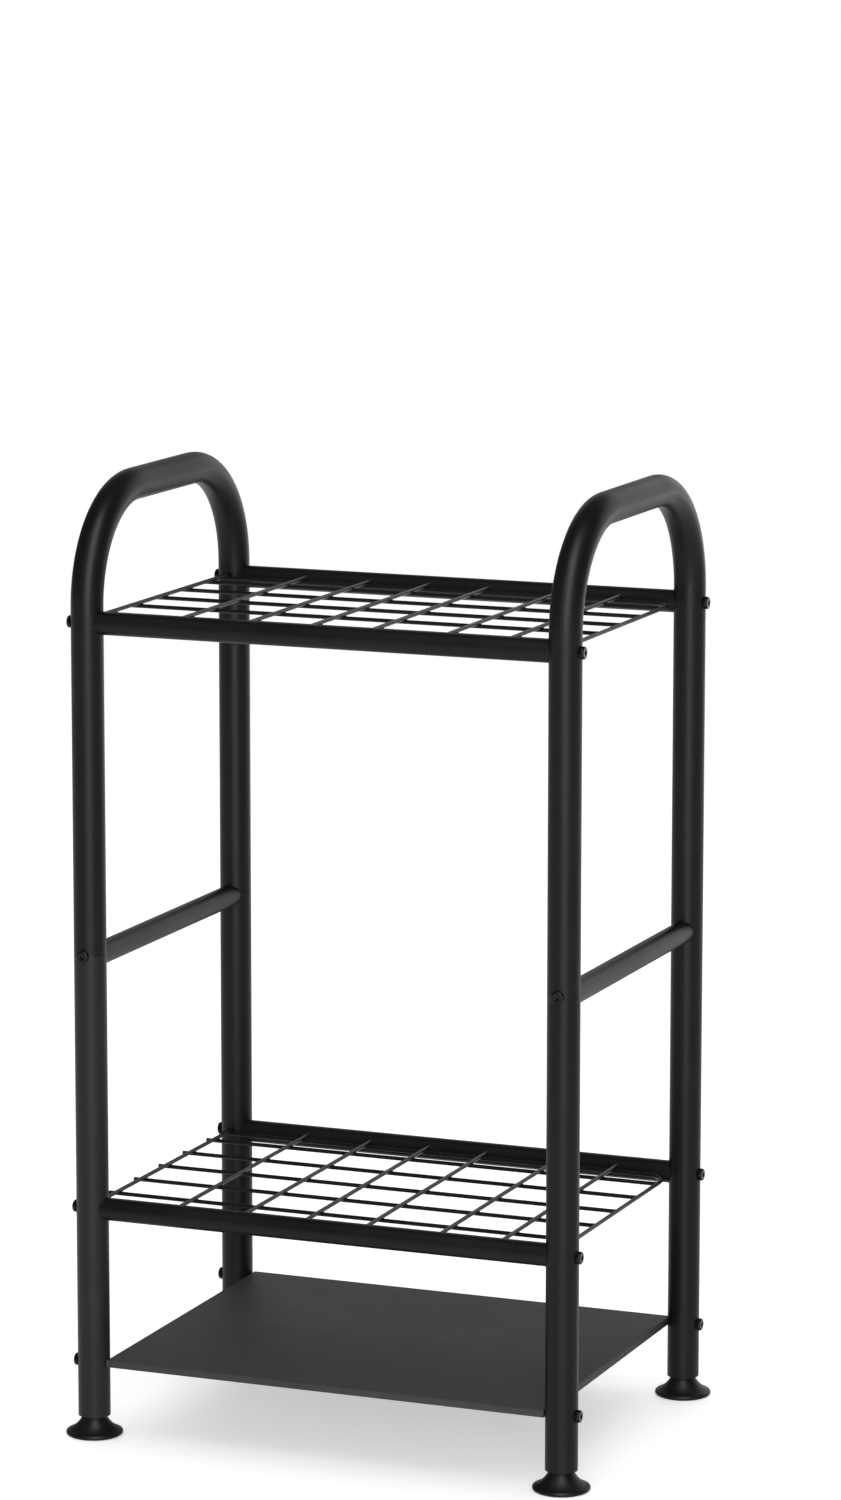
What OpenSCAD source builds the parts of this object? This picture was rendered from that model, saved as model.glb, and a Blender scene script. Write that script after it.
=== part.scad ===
// Freestanding rack for long-handled garden tools, in millimetres.
// Two bent tube hoops stand on four lower legs; four round rails and two
// crossbars tie them; two welded wire shelves guide the handles and a
// folded sheet tray carries the tool heads. Each leg has a levelling foot.
// Z is up, the floor is Z = 0, the origin is the middle of the floor plan,
// the front of the rack faces -Y.

/* [Node] */
// Which piece to draw

/* [Overall frame] */
// Distance between the left and right legs' centre lines
frame_w = 556; // [440:1:760]
// Distance between the front and rear legs' centre lines
frame_d = 395; // [360:1:480]
// Height of the top bars' centre line above the floor
top_h = 1053; // [1050:1:1200]
// Radius of the top corner bends, to the tube's centre line
bend_r = 121; // [70:1:124]
// Outside diameter of the legs and hoops
leg_d = 36; // [32:0.5:38]
// Wall thickness of the legs and hoops
leg_wall = 1.2; // [1:0.1:2]

/* [Leg joints] */
// Height of the seam between a hoop and its lower legs
seam_h = 546.5; // [420:0.5:760]
// Open line left at the seam
seam_gap = 0.3; // [0.1:0.1:1]
// Length of the joining sleeve inside each seam
sleeve_l = 120; // [90:1:160]
// Wall thickness of the joining sleeve
sleeve_wall = 1.5; // [1:0.1:2.5]
// Radial play between a pressed or sliding inner piece and its tube
inner_fit = 0.05; // [0.02:0.01:0.1]

/* [Rails and crossbars] */
// Outside diameter of the four rails
rail_d = 25.4; // [22:0.1:28]
// Wall thickness of the rails
rail_wall = 1; // [0.8:0.1:1.6]
// Distance of the upper rails' centre line below the start of the corner bends
upper_rail_drop = 17.2; // [13:0.2:120]
// Height of the lower rails' centre line
lower_rail_h = 259.5; // [160:0.5:380]
// Outside diameter of the two crossbars
crossbar_d = 25.4; // [22:0.1:28]
// Wall thickness of the crossbars
crossbar_wall = 1; // [0.8:0.1:1.6]
// Height of a crossbar's centre line below its screws
crossbar_drop = 4.5; // [0:0.1:4.5]
// Gap left at a coped or welded end
weld_gap = 0.1; // [0.05:0.05:0.3]
// Length of the threaded inserts in the rail and crossbar ends
insert_l = 22; // [16:1:30]
// Depth of an insert's outer face inside the coped end
insert_inset = 1; // [0.5:0.5:3]

/* [Wire shelves] */
// Diameter of the shelf wires
wire_d = 4.5; // [3:0.5:5]
// Distance of the left cross wire from the left legs' centre line
first_wire_inset = 3; // [0:0.5:8]
// Distance of the border wire from the right legs' centre line
last_wire_inset = 12; // [4:0.5:14]
// Widths of the first six cells from the left, as shares of all seven
cell_width_shares = [0.171, 0.147, 0.134, 0.133, 0.16, 0.134];
// Number of wires that run left to right
long_wire_count = 5; // [3:1:7]
// Spacing of those wires, as a share of the distance between leg centres
long_wire_pitch_share = 0.169; // [0.1:0.001:0.17]
// Shift of those wires to the rear, as a share of the same distance
long_wire_shift_share = 0.01; // [0:0.001:0.03]
// How far the long wires' ends stand out past the left cross wire
wire_stub_l = 14.5; // [4:0.5:20]
// Bend radius of the border wire, to its centre line
border_bend_r = 28; // [12:1:40]
// Open gap between the border wire's rear run and the rear rail
border_gap = 8.4; // [1:0.1:20]

/* [Base tray] */
// Height of the tray's top face above the floor
tray_top_h = 88.5; // [80:0.5:160]
// Depth of the tray's folded rim, plate included
tray_rim_h = 8.3; // [8:0.1:20]
// Thickness of the tray's sheet
tray_sheet = 1.2; // [0.8:0.1:1.5]
// How far the tray's front and rear edges stand out past the legs' centre lines
tray_overhang = 7.5; // [7:0.5:14]
// Height of the tray screws above the rim's lower edge
tray_screw_rise = 3.7; // [3.4:0.1:4]
// Size of a corner block along the rail direction
block_w = 12; // [9:1:20]
// Size of a corner block from front to back
block_d = 12; // [9:1:12]

/* [Levelling feet] */
// Height of a foot from the floor to the leg's end
foot_h = 22.5; // [20:0.5:26]
// Diameter of the foot's rim
foot_d = 63.5; // [56:0.5:70]
// Thickness of the foot's rounded rim
foot_rim_h = 5.6; // [4:0.2:8]
// Diameter of the foot's neck just under the leg
foot_neck_d = 26; // [22:0.2:29]
// Radius of the hollow curve between the neck and the rim
foot_curve_r = 31; // [24:0.5:40]
// Gap between a fully screwed-in foot and the leg's end
foot_stop_gap = 0.2; // [0.1:0.1:0.5]
// Diameter of the foot's stud
stud_d = 10; // [8:1:12]
// Length of the stud
stud_l = 46; // [40:1:60]
// Thickness of the foot under the stud
stud_floor = 5; // [4:0.5:8]
// Radial running play between the stud and the leg plug
thread_play = 0.05; // [0.02:0.01:0.09]
// Height of the threaded plug in the leg's end
plug_h = 25; // [20:1:40]

/* [Screws] */
// Shank diameter of the rail and crossbar screws
screw_d = 8; // [6:1:8]
// Shank length of the rail and crossbar screws
screw_l = 50; // [46:1:56]
// Shank diameter of the tray screws
tray_screw_d = 5; // [4:0.5:5]
// Shank length of the tray screws
tray_screw_l = 46; // [43:1:47]
// Diameter of every screw head
head_d = 14; // [12:0.5:15]
// Height of every screw head
head_h = 4.4; // [3.6:0.1:5]
// Radius of the round edge of a head's face
head_edge_r = 1.6; // [0.5:0.1:2]
// Width across the flats of the hex socket
socket_w = 5; // [4:0.5:6]
// Depth of the hex socket
socket_depth = 2.6; // [2:0.1:3]
// Radial play of a screw in its tube holes
screw_play = 0.5; // [0.3:0.1:0.8]

/* [Hidden] */
$fn = 96;
left = -1;
right = 1;
front = -1;
rear = 1;
sides = [-1, 1];
leg_x = frame_w / 2;
leg_y = frame_d / 2;
leg_r = leg_d / 2;
leg_bore_d = leg_d - 2 * leg_wall;
bend_start_h = top_h - bend_r;
upper_rail_h = bend_start_h - upper_rail_drop;
rail_r = rail_d / 2;
rail_bore_d = rail_d - 2 * rail_wall;
crossbar_h = seam_h - crossbar_drop;
crossbar_bore_d = crossbar_d - 2 * crossbar_wall;
cope_d = leg_d + 2 * weld_gap;
inner_d = leg_bore_d - 2 * inner_fit;
insert_start = leg_r + weld_gap + insert_inset;
thread_hole_d = screw_d + 2 * inner_fit;
tray_thread_hole_d = tray_screw_d + 2 * inner_fit;
screw_hole_d = screw_d + 2 * screw_play;
tray_screw_hole_d = tray_screw_d + 2 * screw_play;
// Room past a face for a cut
cut = leg_wall;
wire_r = wire_d / 2;
shelf_w = frame_w - first_wire_inset - last_wire_inset;
first_wire_x = first_wire_inset - leg_x;
border_x = leg_x - last_wire_inset;
border_y = leg_y - rail_r - border_gap - wire_r;
cross_count = len(cell_width_shares);
// Sum of the first n cell width shares
function share_sum(n) = n == 0 ? 0 : cell_width_shares[n - 1] + share_sum(n - 1);
function cross_x(n) = first_wire_x + shelf_w * share_sum(n);
long_pitch = frame_d * long_wire_pitch_share;
long_shift = frame_d * long_wire_shift_share;
function long_y(n) = long_shift + (n - (long_wire_count - 1) / 2) * long_pitch;
tray_x = leg_x - leg_r - weld_gap;
tray_y = leg_y + tray_overhang;
tray_bottom_h = tray_top_h - tray_rim_h;
block_h = tray_rim_h - tray_sheet;
tray_screw_h = tray_bottom_h + tray_screw_rise;
foot_r = foot_d / 2;
foot_rim_r = foot_rim_h / 2;
foot_flat_r = foot_r - foot_rim_r;
neck_r = foot_neck_d / 2;
foot_top_h = foot_h - foot_stop_gap;
// Centre of the foot's hollow curve, through the rim's top and the neck's top
curve_dx = neck_r - foot_flat_r;
curve_dz = foot_top_h - foot_rim_h;
curve_chord = sqrt(curve_dx * curve_dx + curve_dz * curve_dz);
curve_off = sqrt(foot_curve_r * foot_curve_r - curve_chord * curve_chord / 4);
curve_x = (neck_r + foot_flat_r) / 2 + curve_off * curve_dz / curve_chord;
curve_z = (foot_top_h + foot_rim_h) / 2 - curve_off * curve_dx / curve_chord;
head_flat_r = head_d / 2 - head_edge_r;

coat_colour = [0.1, 0.1, 0.105];
steel_colour = [0.62, 0.62, 0.64];
screw_colour = [0.05, 0.05, 0.055];
foot_colour = [0.07, 0.07, 0.07];

// Turns a shape drawn along +Z so that it runs along +X or -X
module along_x(side) {
    rotate([0, side * 90, 0]) children();
}

// Turns a shape drawn along +Z so that it runs along +Y or -Y
module along_y(side) {
    rotate([-side * 90, 0, 0]) children();
}

// Hole across a leg, along X
module leg_hole_x(x, y, z, d) {
    translate([x - leg_d, y, z]) along_x(right) cylinder(d = d, h = 2 * leg_d);
}

// Hole across a leg, along Y
module leg_hole_y(x, y, z, d) {
    translate([x, y - leg_d, z]) along_y(rear) cylinder(d = d, h = 2 * leg_d);
}

// One quarter bend in the YZ plane, from the rear leg's line up to the top bar
module hoop_bend(d) {
    translate([0, leg_y - bend_r, bend_start_h])
        rotate([90, 0, 90])
            rotate_extrude(angle = 90) translate([bend_r, 0]) circle(d = d);
}

// Solid run of a whole hoop, its open ends lengthened by extra
module hoop_run(d, extra) {
    for (s = sides)
        translate([0, s * leg_y, seam_h + seam_gap / 2 - extra])
            cylinder(d = d, h = bend_start_h - seam_h - seam_gap / 2 + extra);
    translate([0, bend_r - leg_y, top_h])
        along_y(rear) cylinder(d = d, h = frame_d - 2 * bend_r);
    hoop_bend(d);
    mirror([0, 1, 0]) hoop_bend(d);
}

module hoop(side) {
    color(coat_colour)
        difference() {
            translate([side * leg_x, 0, 0]) hoop_run(leg_d, 0);
            translate([side * leg_x, 0, 0]) hoop_run(leg_bore_d, cut);
            for (s = sides) {
                leg_hole_x(side * leg_x, s * leg_y, upper_rail_h, screw_hole_d);
                leg_hole_y(side * leg_x, s * leg_y, seam_h, screw_hole_d);
            }
        }
}

module lower_leg(side, end) {
    x = side * leg_x;
    y = end * leg_y;
    color(coat_colour)
        difference() {
            translate([x, y, foot_h])
                cylinder(d = leg_d, h = seam_h - seam_gap / 2 - foot_h);
            translate([x, y, foot_h - cut])
                cylinder(d = leg_bore_d, h = seam_h - foot_h + 2 * cut);
            leg_hole_x(x, y, lower_rail_h, screw_hole_d);
            leg_hole_x(x, y, tray_screw_h, tray_screw_hole_d);
            leg_hole_y(x, y, seam_h, screw_hole_d);
        }
}

// Sleeve that joins a hoop's end to its lower leg
module joining_sleeve(side, end) {
    color(steel_colour)
        difference() {
            translate([side * leg_x, end * leg_y, seam_h - sleeve_l / 2])
                cylinder(d = inner_d, h = sleeve_l);
            translate([side * leg_x, end * leg_y, seam_h - sleeve_l / 2 - cut])
                cylinder(d = inner_d - 2 * sleeve_wall, h = sleeve_l + 2 * cut);
            leg_hole_y(side * leg_x, end * leg_y, seam_h, screw_hole_d);
        }
}

// Front to back bar between two legs, its ends coped to them
module crossbar(side) {
    color(coat_colour)
        difference() {
            translate([side * leg_x, -leg_y, crossbar_h])
                along_y(rear) cylinder(d = crossbar_d, h = frame_d);
            translate([side * leg_x, -leg_y - cut, crossbar_h])
                along_y(rear) cylinder(d = crossbar_bore_d, h = frame_d + 2 * cut);
            for (s = sides)
                translate([side * leg_x, s * leg_y, crossbar_h - crossbar_d])
                    cylinder(d = cope_d, h = 2 * crossbar_d);
        }
}

module crossbar_inserts() {
    color(steel_colour)
        for (sx = sides) for (sy = sides)
            difference() {
                translate([sx * leg_x, sy * (leg_y - insert_start), crossbar_h])
                    along_y(-sy) cylinder(d = crossbar_bore_d - 2 * inner_fit, h = insert_l);
                translate([sx * leg_x, sy * (leg_y - insert_start + cut), seam_h])
                    along_y(-sy) cylinder(d = thread_hole_d, h = insert_l + 2 * cut);
            }
}

// Left to right rail between two legs, its ends coped to them
module rail(end, z) {
    color(coat_colour)
        difference() {
            translate([-leg_x, end * leg_y, z])
                along_x(right) cylinder(d = rail_d, h = frame_w);
            translate([-leg_x - cut, end * leg_y, z])
                along_x(right) cylinder(d = rail_bore_d, h = frame_w + 2 * cut);
            for (s = sides)
                translate([s * leg_x, end * leg_y, z - rail_d])
                    cylinder(d = cope_d, h = 2 * rail_d);
        }
}

module rail_inserts() {
    color(steel_colour)
        for (z = [lower_rail_h, upper_rail_h]) for (sx = sides) for (sy = sides)
            difference() {
                translate([sx * (leg_x - insert_start), sy * leg_y, z])
                    along_x(-sx) cylinder(d = rail_bore_d - 2 * inner_fit, h = insert_l);
                translate([sx * (leg_x - insert_start + cut), sy * leg_y, z])
                    along_x(-sx) cylinder(d = thread_hole_d, h = insert_l + 2 * cut);
            }
}

// Wires that run left to right at the rails' height and end at the border wire
module long_wires(z) {
    color(coat_colour)
        for (n = [0 : long_wire_count - 1])
            difference() {
                translate([first_wire_x - wire_stub_l, long_y(n), z])
                    along_x(right) cylinder(d = wire_d, h = border_x - first_wire_x + wire_stub_l);
                translate([border_x, long_y(n) - wire_d, z])
                    along_y(rear) cylinder(d = wire_d + 2 * weld_gap, h = 2 * wire_d);
            }
}

// Wires that run front to back on top of the long wires
module cross_wires(z) {
    color(coat_colour)
        for (n = [0 : cross_count])
            difference() {
                translate([cross_x(n), -leg_y, z + wire_d])
                    along_y(rear) cylinder(d = wire_d, h = frame_d);
                for (s = sides) {
                    translate([cross_x(n) - wire_d, s * leg_y, z])
                        along_x(right) cylinder(d = rail_d + 2 * weld_gap, h = 2 * wire_d);
                    translate([-leg_x, s * leg_y, z - wire_d])
                        cylinder(d = cope_d, h = 4 * wire_d);
                }
            }
}

// Wire along the right side that bends and runs on in front of the rear rail
module border_wire(z) {
    run_start = first_wire_x - wire_stub_l;
    bend_x = border_x - border_bend_r;
    bend_y = border_y - border_bend_r;
    color(coat_colour)
        difference() {
            union() {
                translate([border_x, -leg_y, z])
                    along_y(rear) cylinder(d = wire_d, h = leg_y + bend_y);
                translate([bend_x, bend_y, z])
                    rotate_extrude(angle = 90) translate([border_bend_r, 0]) circle(d = wire_d);
                translate([run_start, border_y, z])
                    along_x(right) cylinder(d = wire_d, h = bend_x - run_start);
            }
            translate([leg_x, -leg_y, z - wire_d])
                cylinder(d = cope_d, h = 2 * wire_d);
        }
}

module base_tray() {
    color(coat_colour)
        difference() {
            translate([-tray_x, -tray_y, tray_bottom_h])
                cube([2 * tray_x, 2 * tray_y, tray_rim_h]);
            translate([tray_sheet - tray_x, tray_sheet - tray_y, tray_bottom_h - cut])
                cube([2 * (tray_x - tray_sheet), 2 * (tray_y - tray_sheet), block_h + cut]);
            for (sy = sides)
                translate([-tray_x - cut, sy * leg_y, tray_screw_h])
                    along_x(right) cylinder(d = tray_screw_hole_d, h = 2 * (tray_x + cut));
        }
}

// Threaded blocks welded in the tray's corners
module tray_blocks() {
    color(steel_colour)
        for (sx = sides) for (sy = sides)
            difference() {
                translate([sx * (tray_x - tray_sheet - block_w / 2) - block_w / 2,
                        sy * leg_y - block_d / 2, tray_bottom_h])
                    cube([block_w, block_d, block_h]);
                translate([sx * (tray_x + cut), sy * leg_y, tray_screw_h])
                    along_x(-sx) cylinder(d = tray_thread_hole_d, h = block_w + 2 * (tray_sheet + cut));
            }
}

// Threaded plugs pressed into the legs' lower ends
module leg_plugs() {
    color(steel_colour)
        for (sx = sides) for (sy = sides)
            translate([sx * leg_x, sy * leg_y, 0])
                difference() {
                    translate([0, 0, foot_h]) cylinder(d = inner_d, h = plug_h);
                    translate([0, 0, foot_h - cut])
                        cylinder(d = stud_d + 2 * thread_play, h = plug_h + 2 * cut);
                }
}

// Outline of a foot's pad: rounded rim, hollow curve, short neck
module pad_outline() {
    translate([foot_flat_r, foot_rim_r]) circle(d = foot_rim_h);
    difference() {
        square([foot_flat_r, foot_top_h]);
        translate([curve_x, curve_z]) circle(r = foot_curve_r);
    }
}

module foot_pad(side, end) {
    color(foot_colour)
        translate([side * leg_x, end * leg_y, 0])
            difference() {
                rotate_extrude() intersection() {
                    pad_outline();
                    square([foot_r, foot_top_h]);
                }
                translate([0, 0, stud_floor]) cylinder(d = stud_d + 2 * inner_fit, h = foot_h);
            }
}

module foot_stud(side, end) {
    color(steel_colour)
        translate([side * leg_x, end * leg_y, stud_floor])
            cylinder(d = stud_d, h = stud_l);
}

// Outline of a screw head: upright side, round edge, flat face
module head_outline() {
    square([head_flat_r, head_h]);
    square([head_flat_r + head_edge_r, head_h - head_edge_r]);
    translate([head_flat_r, head_h - head_edge_r]) circle(r = head_edge_r);
}

// Low cap screw along +Z, the underside of its head at zero, shank going down
module cap_screw(d, l) {
    difference() {
        union() {
            rotate_extrude() head_outline();
            translate([0, 0, -l]) cylinder(d = d, h = l);
        }
        translate([0, 0, head_h - socket_depth])
            cylinder(d = socket_w / cos(30), h = head_h, $fn = 6);
    }
}

module rail_screws(z) {
    color(screw_colour)
        for (sx = sides) for (sy = sides)
            translate([sx * (leg_x + leg_r), sy * leg_y, z])
                along_x(sx) cap_screw(screw_d, screw_l);
}

module crossbar_screws() {
    color(screw_colour)
        for (sx = sides) for (sy = sides)
            translate([sx * leg_x, sy * (leg_y + leg_r), seam_h])
                along_y(sy) cap_screw(screw_d, screw_l);
}

module tray_screws() {
    color(screw_colour)
        for (sx = sides) for (sy = sides)
            translate([sx * (leg_x + leg_r), sy * leg_y, tray_screw_h])
                along_x(sx) cap_screw(tray_screw_d, tray_screw_l);
}

module left_hoop() hoop(left);
module right_hoop() hoop(right);
module front_left_leg() lower_leg(left, front);
module rear_left_leg() lower_leg(left, rear);
module front_right_leg() lower_leg(right, front);
module rear_right_leg() lower_leg(right, rear);
module front_left_sleeve() joining_sleeve(left, front);
module rear_left_sleeve() joining_sleeve(left, rear);
module front_right_sleeve() joining_sleeve(right, front);
module rear_right_sleeve() joining_sleeve(right, rear);
module left_crossbar() crossbar(left);
module right_crossbar() crossbar(right);
module upper_front_rail() rail(front, upper_rail_h);
module upper_rear_rail() rail(rear, upper_rail_h);
module lower_front_rail() rail(front, lower_rail_h);
module lower_rear_rail() rail(rear, lower_rail_h);
module upper_long_wires() long_wires(upper_rail_h);
module upper_cross_wires() cross_wires(upper_rail_h);
module upper_border_wire() border_wire(upper_rail_h);
module lower_long_wires() long_wires(lower_rail_h);
module lower_cross_wires() cross_wires(lower_rail_h);
module lower_border_wire() border_wire(lower_rail_h);
module front_left_pad() foot_pad(left, front);
module rear_left_pad() foot_pad(left, rear);
module front_right_pad() foot_pad(right, front);
module rear_right_pad() foot_pad(right, rear);
module front_left_stud() foot_stud(left, front);
module rear_left_stud() foot_stud(left, rear);
module front_right_stud() foot_stud(right, front);
module rear_right_stud() foot_stud(right, rear);
module upper_shelf_screws() rail_screws(upper_rail_h);
module lower_shelf_screws() rail_screws(lower_rail_h);

left_hoop();
right_hoop();
front_left_leg();
rear_left_leg();
front_right_leg();
rear_right_leg();
front_left_sleeve();
rear_left_sleeve();
front_right_sleeve();
rear_right_sleeve();
left_crossbar();
right_crossbar();
crossbar_inserts();
upper_front_rail();
upper_rear_rail();
lower_front_rail();
lower_rear_rail();
rail_inserts();
upper_long_wires();
upper_cross_wires();
upper_border_wire();
lower_long_wires();
lower_cross_wires();
lower_border_wire();
base_tray();
tray_blocks();
leg_plugs();
front_left_pad();
rear_left_pad();
front_right_pad();
rear_right_pad();
front_left_stud();
rear_left_stud();
front_right_stud();
rear_right_stud();
upper_shelf_screws();
lower_shelf_screws();
crossbar_screws();
tray_screws();
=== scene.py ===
"""Looks of the freestanding garden tool rack, in metres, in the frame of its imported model."""

import math

import bmesh
import bpy
from mathutils import Euler, Matrix, Vector


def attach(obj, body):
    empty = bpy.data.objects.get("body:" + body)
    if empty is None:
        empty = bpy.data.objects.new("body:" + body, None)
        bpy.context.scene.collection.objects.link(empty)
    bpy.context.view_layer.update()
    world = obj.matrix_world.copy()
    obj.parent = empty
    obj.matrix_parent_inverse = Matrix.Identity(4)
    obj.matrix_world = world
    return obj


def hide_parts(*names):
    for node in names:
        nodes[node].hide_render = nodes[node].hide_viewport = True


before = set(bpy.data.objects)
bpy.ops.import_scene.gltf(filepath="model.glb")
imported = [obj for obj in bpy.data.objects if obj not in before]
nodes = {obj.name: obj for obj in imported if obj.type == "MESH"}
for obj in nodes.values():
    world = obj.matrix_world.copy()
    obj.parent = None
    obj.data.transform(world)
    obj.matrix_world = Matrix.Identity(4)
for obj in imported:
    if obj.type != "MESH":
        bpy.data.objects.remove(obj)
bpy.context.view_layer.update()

# Rack sizes
LEG_X = 0.278
LEG_Y = 0.1975
LEG_R = 0.018
SEAM_H = 0.5465
RAIL_R = 0.0127
UPPER_RAIL_H = 0.9148
LOWER_RAIL_H = 0.2595
TRAY_SCREW_H = 0.0839
TRAY_TOP_H = 0.0885
TRAY_RIM_H = 0.0083
TRAY_SHEET = 0.0012
TRAY_X = 0.2599
TRAY_Y = 0.205
WIRE_R = 0.00225
CELL_SHARES = (0.171, 0.147, 0.134, 0.133, 0.16, 0.134)
FIRST_WIRE_X = -0.275
BORDER_X = 0.266
BORDER_GAP = 0.0084
BORDER_Y = LEG_Y - RAIL_R - BORDER_GAP - WIRE_R
LONG_PITCH = 2 * LEG_Y * 0.169
LONG_SHIFT = 2 * LEG_Y * 0.01
LONG_WIRES = 5
HEAD_R = 0.007
HEAD_H = 0.0044
HEAD_EDGE_R = 0.0016
SOCKET_W = 0.005
SOCKET_DEPTH = 0.0026
SCREW_R = 0.004
SCREW_L = 0.05
TRAY_SCREW_R = 0.0025
TRAY_SCREW_L = 0.046

# Surface grain: how often it repeats in a metre, and how high it stands
PEEL_SCALE = 620.0
PEEL_H = 0.0006
GRAIN_SCALE = 1900.0
GRAIN_H = 0.0002

# Weld nuggets at the wires' crossings and at their ends
CROSSING_WELD = {"Nugget Width": 0.0042, "Nugget Height": 0.0024, "Unevenness": 0.0004}
END_WELD = {"Nugget Width": 0.0056, "Nugget Height": 0.0022, "Unevenness": 0.0007}

# Camera, fitted to the photo
CAMERA_PLACE = (2.3277, -5.6793, 1.8189)
YAW = math.radians(21.995)
PITCH = math.radians(9.784)
ROLL = math.radians(0.04)
SENSOR_MM = 36.0
FOCAL_SHARE = 5626.0 / 1500.0


# Shader helpers
class Finish:
    """Builds one procedural finish on the object's own coordinates."""

    def __init__(self, name):
        self.material = bpy.data.materials.new(name)
        self.material.use_nodes = True
        self.tree = self.material.node_tree
        self.tree.nodes.clear()
        self.shader = self.add("ShaderNodeBsdfPrincipled")
        output = self.add("ShaderNodeOutputMaterial")
        self.link(self.shader.outputs["BSDF"], output.inputs["Surface"])
        self.place = self.add("ShaderNodeTexCoord").outputs["Object"]

    def add(self, kind, **settings):
        made = self.tree.nodes.new(kind)
        for key, value in settings.items():
            setattr(made, key, value)
        return made

    def link(self, a, b):
        self.tree.links.new(a, b)

    def stretched(self, scale):
        mapping = self.add("ShaderNodeMapping")
        mapping.inputs["Scale"].default_value = scale
        self.link(self.place, mapping.inputs["Vector"])
        return mapping.outputs["Vector"]

    def noise(self, scale, detail=2.0, rough=0.5, vector=None):
        made = self.add("ShaderNodeTexNoise")
        made.inputs["Scale"].default_value = scale
        made.inputs["Detail"].default_value = detail
        made.inputs["Roughness"].default_value = rough
        self.link(vector or self.place, made.inputs["Vector"])
        return made.outputs["Fac"]

    def ramp(self, fac, stops):
        made = self.add("ShaderNodeValToRGB")
        line = made.color_ramp
        while len(line.elements) < len(stops):
            line.elements.new(0.5)
        for element, (at, colour) in zip(line.elements, stops):
            element.position = at
            element.color = (*colour, 1.0)
        self.link(fac, made.inputs["Fac"])
        return made.outputs["Color"]

    def spread(self, fac, low, high, start=0.35, end=0.65):
        made = self.add("ShaderNodeMapRange")
        for key, value in (("From Min", start), ("From Max", end), ("To Min", low), ("To Max", high)):
            made.inputs[key].default_value = value
        self.link(fac, made.inputs["Value"])
        return made.outputs["Result"]

    def bump(self, height, strength, distance, base=None):
        made = self.add("ShaderNodeBump")
        made.inputs["Strength"].default_value = strength
        made.inputs["Distance"].default_value = distance
        self.link(height, made.inputs["Height"])
        if base is not None:
            self.link(base, made.inputs["Normal"])
        return made.outputs["Normal"]

    def wear(self, colour=None, roughness=None, normal=None):
        for socket, value in (("Base Color", colour), ("Roughness", roughness), ("Normal", normal)):
            if value is not None:
                self.link(value, self.shader.inputs[socket])
        return self.material


def powder_coat(name, dark, light, rough_low, rough_high):
    """Satin black powder coat: fine orange peel, faint cloudiness in tone and gloss."""
    f = Finish(name)
    cloud = f.noise(9.0, 3.0, 0.6)
    fleck = f.noise(GRAIN_SCALE, 1.0, 0.5)
    f.shader.inputs["Metallic"].default_value = 0.0
    f.shader.inputs["Specular IOR Level"].default_value = 0.14
    colour = f.ramp(cloud, ((0.3, dark), (0.7, light)))
    peel = f.bump(f.noise(PEEL_SCALE, 2.0, 0.55), 0.16, PEEL_H)
    grain = f.bump(fleck, 0.1, GRAIN_H, peel)
    return f.wear(colour, f.spread(cloud, rough_low, rough_high), grain)


def tray_coat():
    """The tray's powder coat, painted lighter than the frame's black to stand in for the sheen reflected
    off its top, in a random mottled tone.
    """
    f = Finish("tray_coat_painted_sheen")
    cloud = f.noise(7.0, 4.0, 0.65)
    patch = f.noise(24.0, 5.0, 0.7)
    mix = f.add("ShaderNodeMix", data_type="FLOAT")
    mix.inputs[0].default_value = 0.4
    f.link(cloud, mix.inputs[2])
    f.link(patch, mix.inputs[3])
    both = mix.outputs[0]
    f.shader.inputs["Specular IOR Level"].default_value = 0.2
    # Painted sheen: the tray's black is lighter than the frame's to stand in for light reflected off its
    # top.
    stops = ((0.32, (0.025, 0.025, 0.0253)), (0.55, (0.031, 0.031, 0.0313)), (0.8, (0.044, 0.0439, 0.0436)))
    colour = f.ramp(both, stops)
    peel = f.bump(f.noise(PEEL_SCALE, 2.0, 0.55), 0.18, PEEL_H)
    grain = f.bump(f.noise(GRAIN_SCALE, 1.0), 0.12, GRAIN_H, peel)
    return f.wear(colour, f.spread(both, 0.52, 0.62), grain)


def black_oxide():
    """Screw finish: black oxide with a trace of turning marks and oil, its black darkened further as
    painted contact shade round the heads.
    """
    f = Finish("black_oxide_screw_painted_shade")
    mark = f.noise(420.0, 3.0, 0.6)
    f.shader.inputs["Specular IOR Level"].default_value = 0.18
    # Painted shade: the screw black is darkened to stand in for the contact shade round the heads.
    colour = f.ramp(mark, ((0.3, (0.002, 0.002, 0.0021)), (0.75, (0.004, 0.004, 0.0042))))
    return f.wear(colour, f.spread(mark, 0.2, 0.3), f.bump(f.noise(2600.0, 1.0), 0.15, 0.0001))


def moulded_plastic():
    """Foot plastic: black, a fine moulded grain, a faint random cloudiness in tone and gloss."""
    f = Finish("moulded_foot_plastic")
    cloud = f.noise(45.0, 4.0, 0.65)
    colour = f.ramp(cloud, ((0.3, (0.003, 0.003, 0.003)), (0.75, (0.006, 0.006, 0.006))))
    grain = f.bump(f.noise(2400.0, 2.0, 0.6), 0.2, 0.00015)
    f.shader.inputs["Specular IOR Level"].default_value = 0.16
    return f.wear(colour, f.spread(cloud, 0.4, 0.5), grain)


def zinc_plate():
    """Bright zinc plating of the hidden steel pieces, with drawn lines along Z."""
    f = Finish("zinc_plated_steel")
    drawn = f.noise(60.0, 3.0, 0.6, f.stretched((14.0, 14.0, 1.0)))
    f.shader.inputs["Metallic"].default_value = 1.0
    colour = f.ramp(drawn, ((0.25, (0.3, 0.31, 0.33)), (0.75, (0.46, 0.46, 0.47))))
    return f.wear(colour, f.spread(drawn, 0.26, 0.42), f.bump(drawn, 0.08, 0.0002))


def weld_finish():
    """Weld nuggets under the coat: the same black, a little rougher."""
    return powder_coat("coated_weld", (0.007, 0.007, 0.0075), (0.014, 0.014, 0.0145), 0.4, 0.5)


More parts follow.
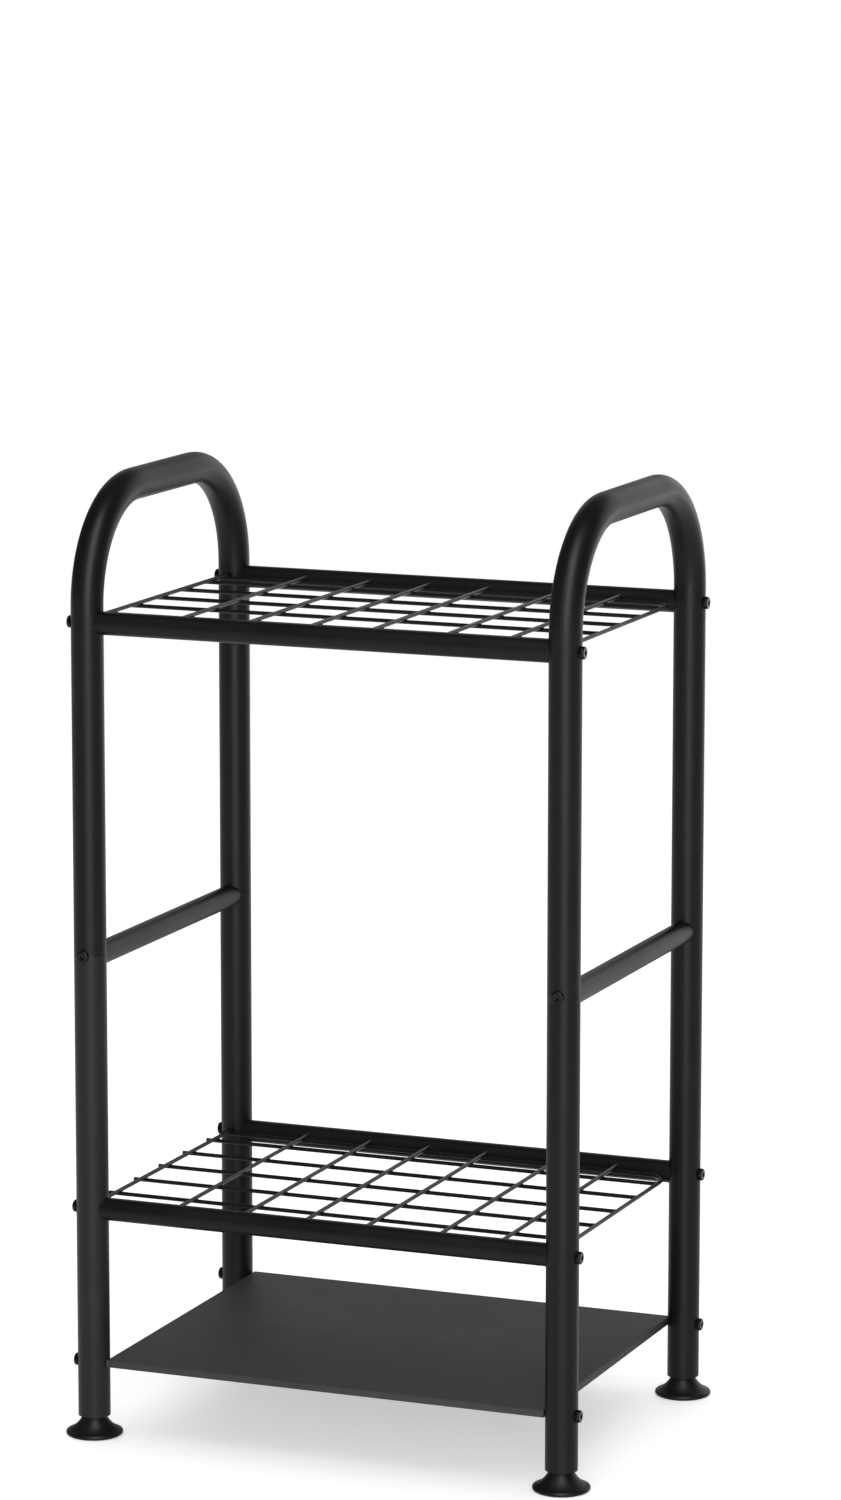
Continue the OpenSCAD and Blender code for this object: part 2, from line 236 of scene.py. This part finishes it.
coat = powder_coat("satin_powder_coat", (0.0036, 0.0036, 0.0038), (0.0052, 0.0052, 0.0054), 0.37, 0.43)
# A lighter, rougher copy of the coat: its lighter colour paints the front-left leg brighter than the hoop
# above its seam.
painted_brighter_leg_coat = powder_coat("leg_coat_painted_brighter", (0.0105, 0.0105, 0.0107), (0.0135, 0.0135, 0.0138), 0.4, 0.46)
wire_coat = powder_coat("wire_powder_coat", (0.0045, 0.0045, 0.0047), (0.007, 0.007, 0.0072), 0.3, 0.38)
tray_painted_sheen_finish = tray_coat()
screw_finish = black_oxide()
foot_finish = moulded_plastic()
zinc = zinc_plate()
weld_coat = weld_finish()


# Piece helpers
def finished(name, mesh_or_bmesh, body, material_slot, *stands_for, smooth=True):
    """Makes a finished piece from mesh data and hangs it on its body."""
    if isinstance(mesh_or_bmesh, bmesh.types.BMesh):
        mesh = bpy.data.meshes.new(name)
        mesh_or_bmesh.to_mesh(mesh)
        mesh_or_bmesh.free()
    else:
        mesh = mesh_or_bmesh
        mesh.name = name
    if smooth:
        mesh.shade_smooth()
    piece = bpy.data.objects.new(name, mesh)
    bpy.context.scene.collection.objects.link(piece)
    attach(piece, body)
    if stands_for:
        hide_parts(*stands_for)
    return piece


def plain_copy(worker):
    """The evaluated mesh of a working object, which is then removed."""
    bpy.context.view_layer.update()
    graph = bpy.context.evaluated_depsgraph_get()
    mesh = bpy.data.meshes.new_from_object(worker.evaluated_get(graph))
    bpy.data.objects.remove(worker)
    return mesh


def ring(bm, points):
    return [bm.verts.new(p) for p in points]


def join_rings(bm, rings):
    """Quads between rings that run the same way, each higher up the outside."""
    for low, high in zip(rings, rings[1:]):
        n = len(low)
        for i in range(n):
            bm.faces.new((low[i], low[(i + 1) % n], high[(i + 1) % n], high[i]))


def close_ring(bm, loop, centre, flip):
    tip = bm.verts.new(centre)
    n = len(loop)
    for i in range(n):
        a, b = loop[i], loop[(i + 1) % n]
        bm.faces.new((b, a, tip) if flip else (a, b, tip))


def circle_points(r, z, n):
    return [(r * math.cos(2 * math.pi * i / n), r * math.sin(2 * math.pi * i / n), z) for i in range(n)]


def hexagon_points(flats, z, n):
    """n points spread round a hexagon, one sixth of them on each flat."""
    points = []
    for i in range(n):
        angle = 2 * math.pi * i / n
        nearest = round(angle / (math.pi / 3) - 0.5) * math.pi / 3 + math.pi / 6
        r = flats / 2 / math.cos(angle - nearest)
        points.append((r * math.cos(angle), r * math.sin(angle), z))
    return points


def cap_screw(shank_r, shank_l):
    """One low cap screw along +Z with a chamfered hex socket, its seat at zero."""
    n = 48
    edge = 0.0003
    tip = 0.0008
    bevel = 0.0002
    drill_tip = 0.0007
    rim_r = SOCKET_W / 2 / math.cos(math.pi / 6) + bevel
    profile = [(shank_r - tip, -shank_l), (shank_r, -shank_l + tip), (shank_r, 0.0)]
    profile += [(HEAD_R - edge, 0.0), (HEAD_R, edge)]
    steps = 9
    for i in range(steps + 1):
        angle = math.pi / 2 * i / steps
        rounded = (HEAD_EDGE_R * math.cos(angle), HEAD_EDGE_R * math.sin(angle))
        profile.append((HEAD_R - HEAD_EDGE_R + rounded[0], HEAD_H - HEAD_EDGE_R + rounded[1]))
    profile.append((rim_r, HEAD_H))
    bm = bmesh.new()
    rings = [ring(bm, circle_points(r, z, n)) for r, z in profile]
    rings.append(ring(bm, hexagon_points(SOCKET_W, HEAD_H - bevel, n)))
    rings.append(ring(bm, hexagon_points(SOCKET_W, HEAD_H - SOCKET_DEPTH, n)))
    join_rings(bm, rings)
    close_ring(bm, rings[0], (0, 0, -shank_l), True)
    close_ring(bm, rings[-1], (0, 0, HEAD_H - SOCKET_DEPTH - drill_tip), False)
    bmesh.ops.recalc_face_normals(bm, faces=bm.faces)
    mesh = bpy.data.meshes.new("cap_screw")
    bm.to_mesh(mesh)
    bm.free()
    mesh.shade_smooth()
    mesh.set_sharp_from_angle(angle=math.radians(35))
    return mesh


# Geometry nodes
def node_tree(name, sizes):
    """An empty geometry tree with a geometry input and named number inputs."""
    tree = bpy.data.node_groups.new(name, "GeometryNodeTree")
    tree.interface.new_socket("Places", in_out="INPUT", socket_type="NodeSocketGeometry")
    for label, kind, value in sizes:
        socket = tree.interface.new_socket(label, in_out="INPUT", socket_type=kind)
        if value is not None:
            socket.default_value = value
    tree.interface.new_socket("Made", in_out="OUTPUT", socket_type="NodeSocketGeometry")
    return tree


def screw_tree():
    """Sets a screw on each place, its head facing the way the place says."""
    tree = node_tree(
        "set_screws",
        (
            ("Screw", "NodeSocketObject", None),
            ("Socket Turn", "NodeSocketFloat", 1.0),
            ("Coat", "NodeSocketMaterial", None),
        ),
    )
    new, link = tree.nodes.new, tree.links.new
    given = new("NodeGroupInput")
    out = new("NodeGroupOutput")
    facing = new("GeometryNodeInputNamedAttribute")
    facing.data_type = "FLOAT_VECTOR"
    facing.inputs["Name"].default_value = "facing"
    align = new("FunctionNodeAlignEulerToVector")
    align.axis = "Z"
    link(facing.outputs["Attribute"], align.inputs["Vector"])
    turn = new("FunctionNodeRandomValue")
    turn.data_type = "FLOAT"
    turn.inputs[2].default_value = 0.0
    turn.inputs["Seed"].default_value = 7
    link(given.outputs["Socket Turn"], turn.inputs[3])
    spin = new("ShaderNodeCombineXYZ")
    link(turn.outputs[1], spin.inputs["Z"])
    turned = new("FunctionNodeRotateEuler")
    turned.space = "LOCAL"
    link(align.outputs["Rotation"], turned.inputs["Rotation"])
    link(spin.outputs["Vector"], turned.inputs["Rotate By"])
    screw = new("GeometryNodeObjectInfo")
    link(given.outputs["Screw"], screw.inputs["Object"])
    place = new("GeometryNodeInstanceOnPoints")
    link(given.outputs["Places"], place.inputs["Points"])
    link(screw.outputs["Geometry"], place.inputs["Instance"])
    link(turned.outputs["Rotation"], place.inputs["Rotation"])
    real = new("GeometryNodeRealizeInstances")
    link(place.outputs["Instances"], real.inputs["Geometry"])
    dress = new("GeometryNodeSetMaterial")
    link(real.outputs["Geometry"], dress.inputs["Geometry"])
    link(given.outputs["Coat"], dress.inputs["Material"])
    link(dress.outputs["Geometry"], out.inputs["Made"])
    return tree


def weld_tree():
    """Sets an uneven weld nugget on each place, flattened along its facing."""
    tree = node_tree(
        "set_weld_nuggets",
        (
            ("Nugget Width", "NodeSocketFloat", 0.0046),
            ("Nugget Height", "NodeSocketFloat", 0.0022),
            ("Unevenness", "NodeSocketFloat", 0.0003),
            ("Coat", "NodeSocketMaterial", None),
        ),
    )
    new, link = tree.nodes.new, tree.links.new
    given = new("NodeGroupInput")
    out = new("NodeGroupOutput")
    ball = new("GeometryNodeMeshIcoSphere")
    ball.inputs["Radius"].default_value = 0.5
    ball.inputs["Subdivisions"].default_value = 3
    size = new("ShaderNodeCombineXYZ")
    link(given.outputs["Nugget Width"], size.inputs["X"])
    link(given.outputs["Nugget Width"], size.inputs["Y"])
    link(given.outputs["Nugget Height"], size.inputs["Z"])
    facing = new("GeometryNodeInputNamedAttribute")
    facing.data_type = "FLOAT_VECTOR"
    facing.inputs["Name"].default_value = "facing"
    align = new("FunctionNodeAlignEulerToVector")
    align.axis = "Z"
    link(facing.outputs["Attribute"], align.inputs["Vector"])
    place = new("GeometryNodeInstanceOnPoints")
    link(given.outputs["Places"], place.inputs["Points"])
    link(ball.outputs["Mesh"], place.inputs["Instance"])
    link(align.outputs["Rotation"], place.inputs["Rotation"])
    link(size.outputs["Vector"], place.inputs["Scale"])
    real = new("GeometryNodeRealizeInstances")
    link(place.outputs["Instances"], real.inputs["Geometry"])
    lump = new("ShaderNodeTexNoise")
    lump.inputs["Scale"].default_value = 420.0
    lump.inputs["Detail"].default_value = 1.0
    where = new("GeometryNodeInputPosition")
    link(where.outputs["Position"], lump.inputs["Vector"])
    centred = new("ShaderNodeMath")
    centred.operation = "SUBTRACT"
    centred.inputs[1].default_value = 0.5
    link(lump.outputs["Fac"], centred.inputs[0])
    depth = new("ShaderNodeMath")
    depth.operation = "MULTIPLY"
    link(centred.outputs["Value"], depth.inputs[0])
    link(given.outputs["Unevenness"], depth.inputs[1])
    normal = new("GeometryNodeInputNormal")
    shift = new("ShaderNodeVectorMath")
    shift.operation = "SCALE"
    link(normal.outputs["Normal"], shift.inputs[0])
    link(depth.outputs["Value"], shift.inputs["Scale"])
    uneven = new("GeometryNodeSetPosition")
    link(real.outputs["Geometry"], uneven.inputs["Geometry"])
    link(shift.outputs["Vector"], uneven.inputs["Offset"])
    soft = new("GeometryNodeSetShadeSmooth")
    link(uneven.outputs["Geometry"], soft.inputs["Geometry"])
    dress = new("GeometryNodeSetMaterial")
    link(soft.outputs["Geometry"], dress.inputs["Geometry"])
    link(given.outputs["Coat"], dress.inputs["Material"])
    link(dress.outputs["Geometry"], out.inputs["Made"])
    return tree


def repeated(tree, places, values):
    """Runs a tree over (position, facing) places and returns the plain mesh."""
    seeds = bpy.data.meshes.new("places")
    seeds.from_pydata([p for p, _ in places], [], [])
    facing = seeds.attributes.new("facing", "FLOAT_VECTOR", "POINT")
    facing.data.foreach_set("vector", [c for _, f in places for c in f])
    worker = bpy.data.objects.new("places", seeds)
    bpy.context.scene.collection.objects.link(worker)
    modifier = worker.modifiers.new("make", "NODES")
    modifier.node_group = tree
    for item in tree.interface.items_tree:
        if item.item_type == "SOCKET" and item.in_out == "INPUT" and item.name in values:
            modifier[item.identifier] = values[item.name]
    return plain_copy(worker)


# Screws
set_screws = screw_tree()


def screw_set(name, places, shank_r, shank_l, node):
    pattern = bpy.data.objects.new("pattern", cap_screw(shank_r, shank_l))
    bpy.context.scene.collection.objects.link(pattern)
    mesh = repeated(set_screws, places, {"Screw": pattern, "Socket Turn": math.pi, "Coat": screw_finish})
    bpy.data.objects.remove(pattern)
    return finished(name, mesh, "frame", "black_screw", node, smooth=False)


def side_places(height):
    return [((sx * (LEG_X + LEG_R), sy * LEG_Y, height), (sx, 0, 0)) for sx in (-1, 1) for sy in (-1, 1)]


def end_places(height):
    return [((sx * LEG_X, sy * (LEG_Y + LEG_R), height), (0, sy, 0)) for sx in (-1, 1) for sy in (-1, 1)]


screw_set("upper_shelf_cap_screws", side_places(UPPER_RAIL_H), SCREW_R, SCREW_L, "upper_shelf_screws")
screw_set("lower_shelf_cap_screws", side_places(LOWER_RAIL_H), SCREW_R, SCREW_L, "lower_shelf_screws")
screw_set("tray_cap_screws", side_places(TRAY_SCREW_H), TRAY_SCREW_R, TRAY_SCREW_L, "tray_screws")
screw_set("crossbar_cap_screws", end_places(SEAM_H), SCREW_R, SCREW_L, "crossbar_screws")

# Welds
set_welds = weld_tree()
cross_x = [FIRST_WIRE_X]
for share in CELL_SHARES:
    cross_x.append(cross_x[-1] + share * (BORDER_X - FIRST_WIRE_X))
long_y = [LONG_SHIFT + (n - LONG_WIRES // 2) * LONG_PITCH for n in range(LONG_WIRES)]


def rail_face(height):
    """How far a rail's round face reaches from its axis at a height above it."""
    return math.sqrt(RAIL_R**2 - height**2)


def shelf_welds(name, height):
    crossings = [((x, y, height + WIRE_R), (0, 0, 1)) for x in cross_x for y in long_y]
    crossings += [((x, BORDER_Y, height + WIRE_R), (0, 0, 1)) for x in cross_x]
    ends = []
    for x in cross_x[1:]:
        for sy in (-1, 1):
            ends.append(((x, sy * (LEG_Y - rail_face(2 * WIRE_R)), height + 2 * WIRE_R), (0, sy, 0)))
    ends += [((BORDER_X - WIRE_R, y, height), (1, 0, 0)) for y in long_y]
    nuggets = repeated(set_welds, crossings, {**CROSSING_WELD, "Coat": weld_coat})
    collars = repeated(set_welds, ends, {**END_WELD, "Coat": weld_coat})
    finished(name + "_crossing_welds", nuggets, "frame", "black_coat")
    finished(name + "_end_welds", collars, "frame", "black_coat")


shelf_welds("upper_shelf", UPPER_RAIL_H)
shelf_welds("lower_shelf", LOWER_RAIL_H)


# Tray
def folded_tray():
    """Sheet tray with rounded folds, open underneath, with its screw holes."""
    fold_r = 0.0022
    corner_r = 0.0008
    hole_r = 0.003
    half_rim_z = TRAY_TOP_H - TRAY_RIM_H / 2
    bm = bmesh.new()
    bmesh.ops.create_cube(bm, size=1.0)
    bmesh.ops.scale(bm, vec=(2 * TRAY_X, 2 * TRAY_Y, TRAY_RIM_H), verts=bm.verts)
    bmesh.ops.translate(bm, vec=(0, 0, half_rim_z), verts=bm.verts)
    bottom = [f for f in bm.faces if f.normal.z < -0.9]
    bmesh.ops.delete(bm, geom=bottom, context="FACES_ONLY")
    folds = [e for e in bm.edges if all(v.co.z > half_rim_z for v in e.verts)]
    bmesh.ops.bevel(bm, geom=folds, offset=fold_r, segments=6, affect="EDGES", profile=0.5)
    corners = [e for e in bm.edges if abs(e.verts[0].co.z - e.verts[1].co.z) > TRAY_RIM_H / 2]
    bmesh.ops.bevel(bm, geom=corners, offset=corner_r, segments=3, affect="EDGES", profile=0.5)
    mesh = bpy.data.meshes.new("tray")
    bm.to_mesh(mesh)
    bm.free()
    worker = bpy.data.objects.new("tray", mesh)
    bpy.context.scene.collection.objects.link(worker)
    wall = worker.modifiers.new("sheet", "SOLIDIFY")
    wall.thickness = TRAY_SHEET
    wall.offset = -1.0
    wall.use_even_offset = True
    drills = bmesh.new()
    for sy in (-1, 1):
        turn = Matrix.Translation((0, sy * LEG_Y, TRAY_SCREW_H)) @ Matrix.Rotation(math.pi / 2, 4, "Y")
        size = {"radius1": hole_r, "radius2": hole_r, "depth": 0.6}
        bmesh.ops.create_cone(drills, cap_ends=True, segments=32, matrix=turn, **size)
    drill_mesh = bpy.data.meshes.new("drills")
    drills.to_mesh(drill_mesh)
    drills.free()
    drill = bpy.data.objects.new("drills", drill_mesh)
    bpy.context.scene.collection.objects.link(drill)
    cut = worker.modifiers.new("holes", "BOOLEAN")
    cut.object = drill
    cut.operation = "DIFFERENCE"
    cut.solver = "EXACT"
    made = plain_copy(worker)
    bpy.data.objects.remove(drill)
    made.shade_smooth()
    made.set_sharp_from_angle(angle=math.radians(30))
    return made


tray = finished("folded_tray", folded_tray(), "frame", "black_coat", "base_tray", smooth=False)
tray.data.materials.clear()
tray.data.materials.append(tray_painted_sheen_finish)


# Kept frame pieces
def dress(names, material):
    for name in names:
        node = nodes[name]
        if not node.material_slots:
            node.data.materials.append(material)
        for slot in node.material_slots:
            slot.material = material


LEVELS = ("upper", "lower")
WIRES = ("long_wires", "cross_wires", "border_wire")
legs = [f"{end}_{side}" for end in ("front", "rear") for side in ("left", "right")]
dress(["left_hoop", "right_hoop"] + [leg + "_leg" for leg in legs], coat)
# The front-left leg takes the lighter copy, painted brighter than the hoop above its seam.
dress(["front_left_leg"], painted_brighter_leg_coat)
dress(["left_crossbar", "right_crossbar"], coat)
dress([f"{level}_{end}_rail" for level in LEVELS for end in ("front", "rear")], coat)
dress([f"{level}_{kind}" for level in LEVELS for kind in WIRES], wire_coat)
dress(["crossbar_inserts", "rail_inserts", "tray_blocks", "leg_plugs"], zinc)
dress([f"{leg}_{kind}" for leg in legs for kind in ("sleeve", "stud")], zinc)
dress([leg + "_pad" for leg in legs], foot_finish)


# Floor, light, camera
def pale_floor():
    f = Finish("pale_floor")
    f.shader.inputs["Roughness"].default_value = 0.55
    tone = f.ramp(f.noise(0.6, 1.0), ((0.3, (0.93, 0.93, 0.93)), (0.7, (0.95, 0.95, 0.95))))
    f.shader.inputs["Emission Color"].default_value = (1, 1, 1, 1)
    f.shader.inputs["Emission Strength"].default_value = 0.41
    material = f.wear(tone)
    mesh = bpy.data.meshes.new("studio_floor")
    half = 9.0
    corners = [(-half, -half, 0), (half, -half, 0), (half, half, 0), (-half, half, 0)]
    mesh.from_pydata(corners, [], [(0, 1, 2, 3)])
    floor = bpy.data.objects.new("studio_floor", mesh)
    bpy.context.scene.collection.objects.link(floor)
    mesh.materials.append(material)


def soft_box(name, place, aim, width, height, power, lights_matt=True):
    """A rectangular lamp; one that does not light matt surfaces only shows as a reflection."""
    light = bpy.data.lights.new(name, "AREA")
    light.shape = "RECTANGLE"
    light.size = width
    light.size_y = height
    light.energy = power
    lamp = bpy.data.objects.new(name, light)
    bpy.context.scene.collection.objects.link(lamp)
    lamp.location = place
    lamp.rotation_euler = (Vector(aim) - Vector(place)).to_track_quat("-Z", "Y").to_euler()
    lamp.visible_camera = False
    lamp.visible_diffuse = lights_matt


pale_floor()
soft_box("front_soft_box", (2.3, -5.1, 1.0), (0, 0, 0.6), 2.9, 3.0, 230)
soft_box("front_high_soft_box", (1.45, -3.2, 4.5), (0, 0, 0.9), 2.3, 5.8, 400, False)
soft_box("rear_soft_box", (2.1, 4.6, 2.05), (2.1, 0, 2.05), 4.8, 4.0, 84, False)
soft_box("rear_left_soft_box", (-2.4, 4.6, 2.05), (-2.4, 0, 2.05), 4.2, 4.0, 28, False)

sky = bpy.data.lights.new("overhead_light", "SUN")
sky.energy = 0.6
sky.angle = math.radians(70)
sky_lamp = bpy.data.objects.new("overhead_light", sky)
bpy.context.scene.collection.objects.link(sky_lamp)
sky_lamp.rotation_euler = (math.radians(-8), math.radians(-6), 0)
sky_lamp.visible_glossy = False

world = bpy.data.worlds.new("studio")
world.use_nodes = True
world_nodes, world_links = world.node_tree.nodes, world.node_tree.links
ray = world_nodes.new("ShaderNodeLightPath")


def backdrop(strength):
    """A white background of one strength."""
    made = world_nodes.new("ShaderNodeBackground")
    made.inputs["Color"].default_value = (1, 1, 1, 1)
    made.inputs["Strength"].default_value = strength
    return made.outputs["Background"]


def by_ray(kind, seen, otherwise):
    """One background for a kind of ray and another for the rest."""
    made = world_nodes.new("ShaderNodeMixShader")
    world_links.new(ray.outputs[kind], made.inputs["Fac"])
    world_links.new(otherwise, made.inputs[1])
    world_links.new(seen, made.inputs[2])
    return made.outputs["Shader"]


reflected = by_ray("Is Glossy Ray", backdrop(0.12), backdrop(0.55))
seen = by_ray("Is Camera Ray", backdrop(1.0), reflected)
world_links.new(seen, world_nodes["World Output"].inputs["Surface"])
bpy.context.scene.world = world
bpy.context.scene.view_settings.view_transform = "Standard"

camera_data = bpy.data.cameras.new("photo_camera")
camera_data.sensor_width = SENSOR_MM
camera_data.lens = FOCAL_SHARE * SENSOR_MM
camera_data.clip_end = 60.0
camera = bpy.data.objects.new("photo_camera", camera_data)
bpy.context.scene.collection.objects.link(camera)
camera.location = CAMERA_PLACE
unrolled = Euler((math.pi / 2 - PITCH, 0.0, YAW)).to_matrix()
camera.rotation_euler = (unrolled @ Matrix.Rotation(ROLL, 3, "Z")).to_euler()
bpy.context.scene.camera = camera

bpy.context.view_layer.update()
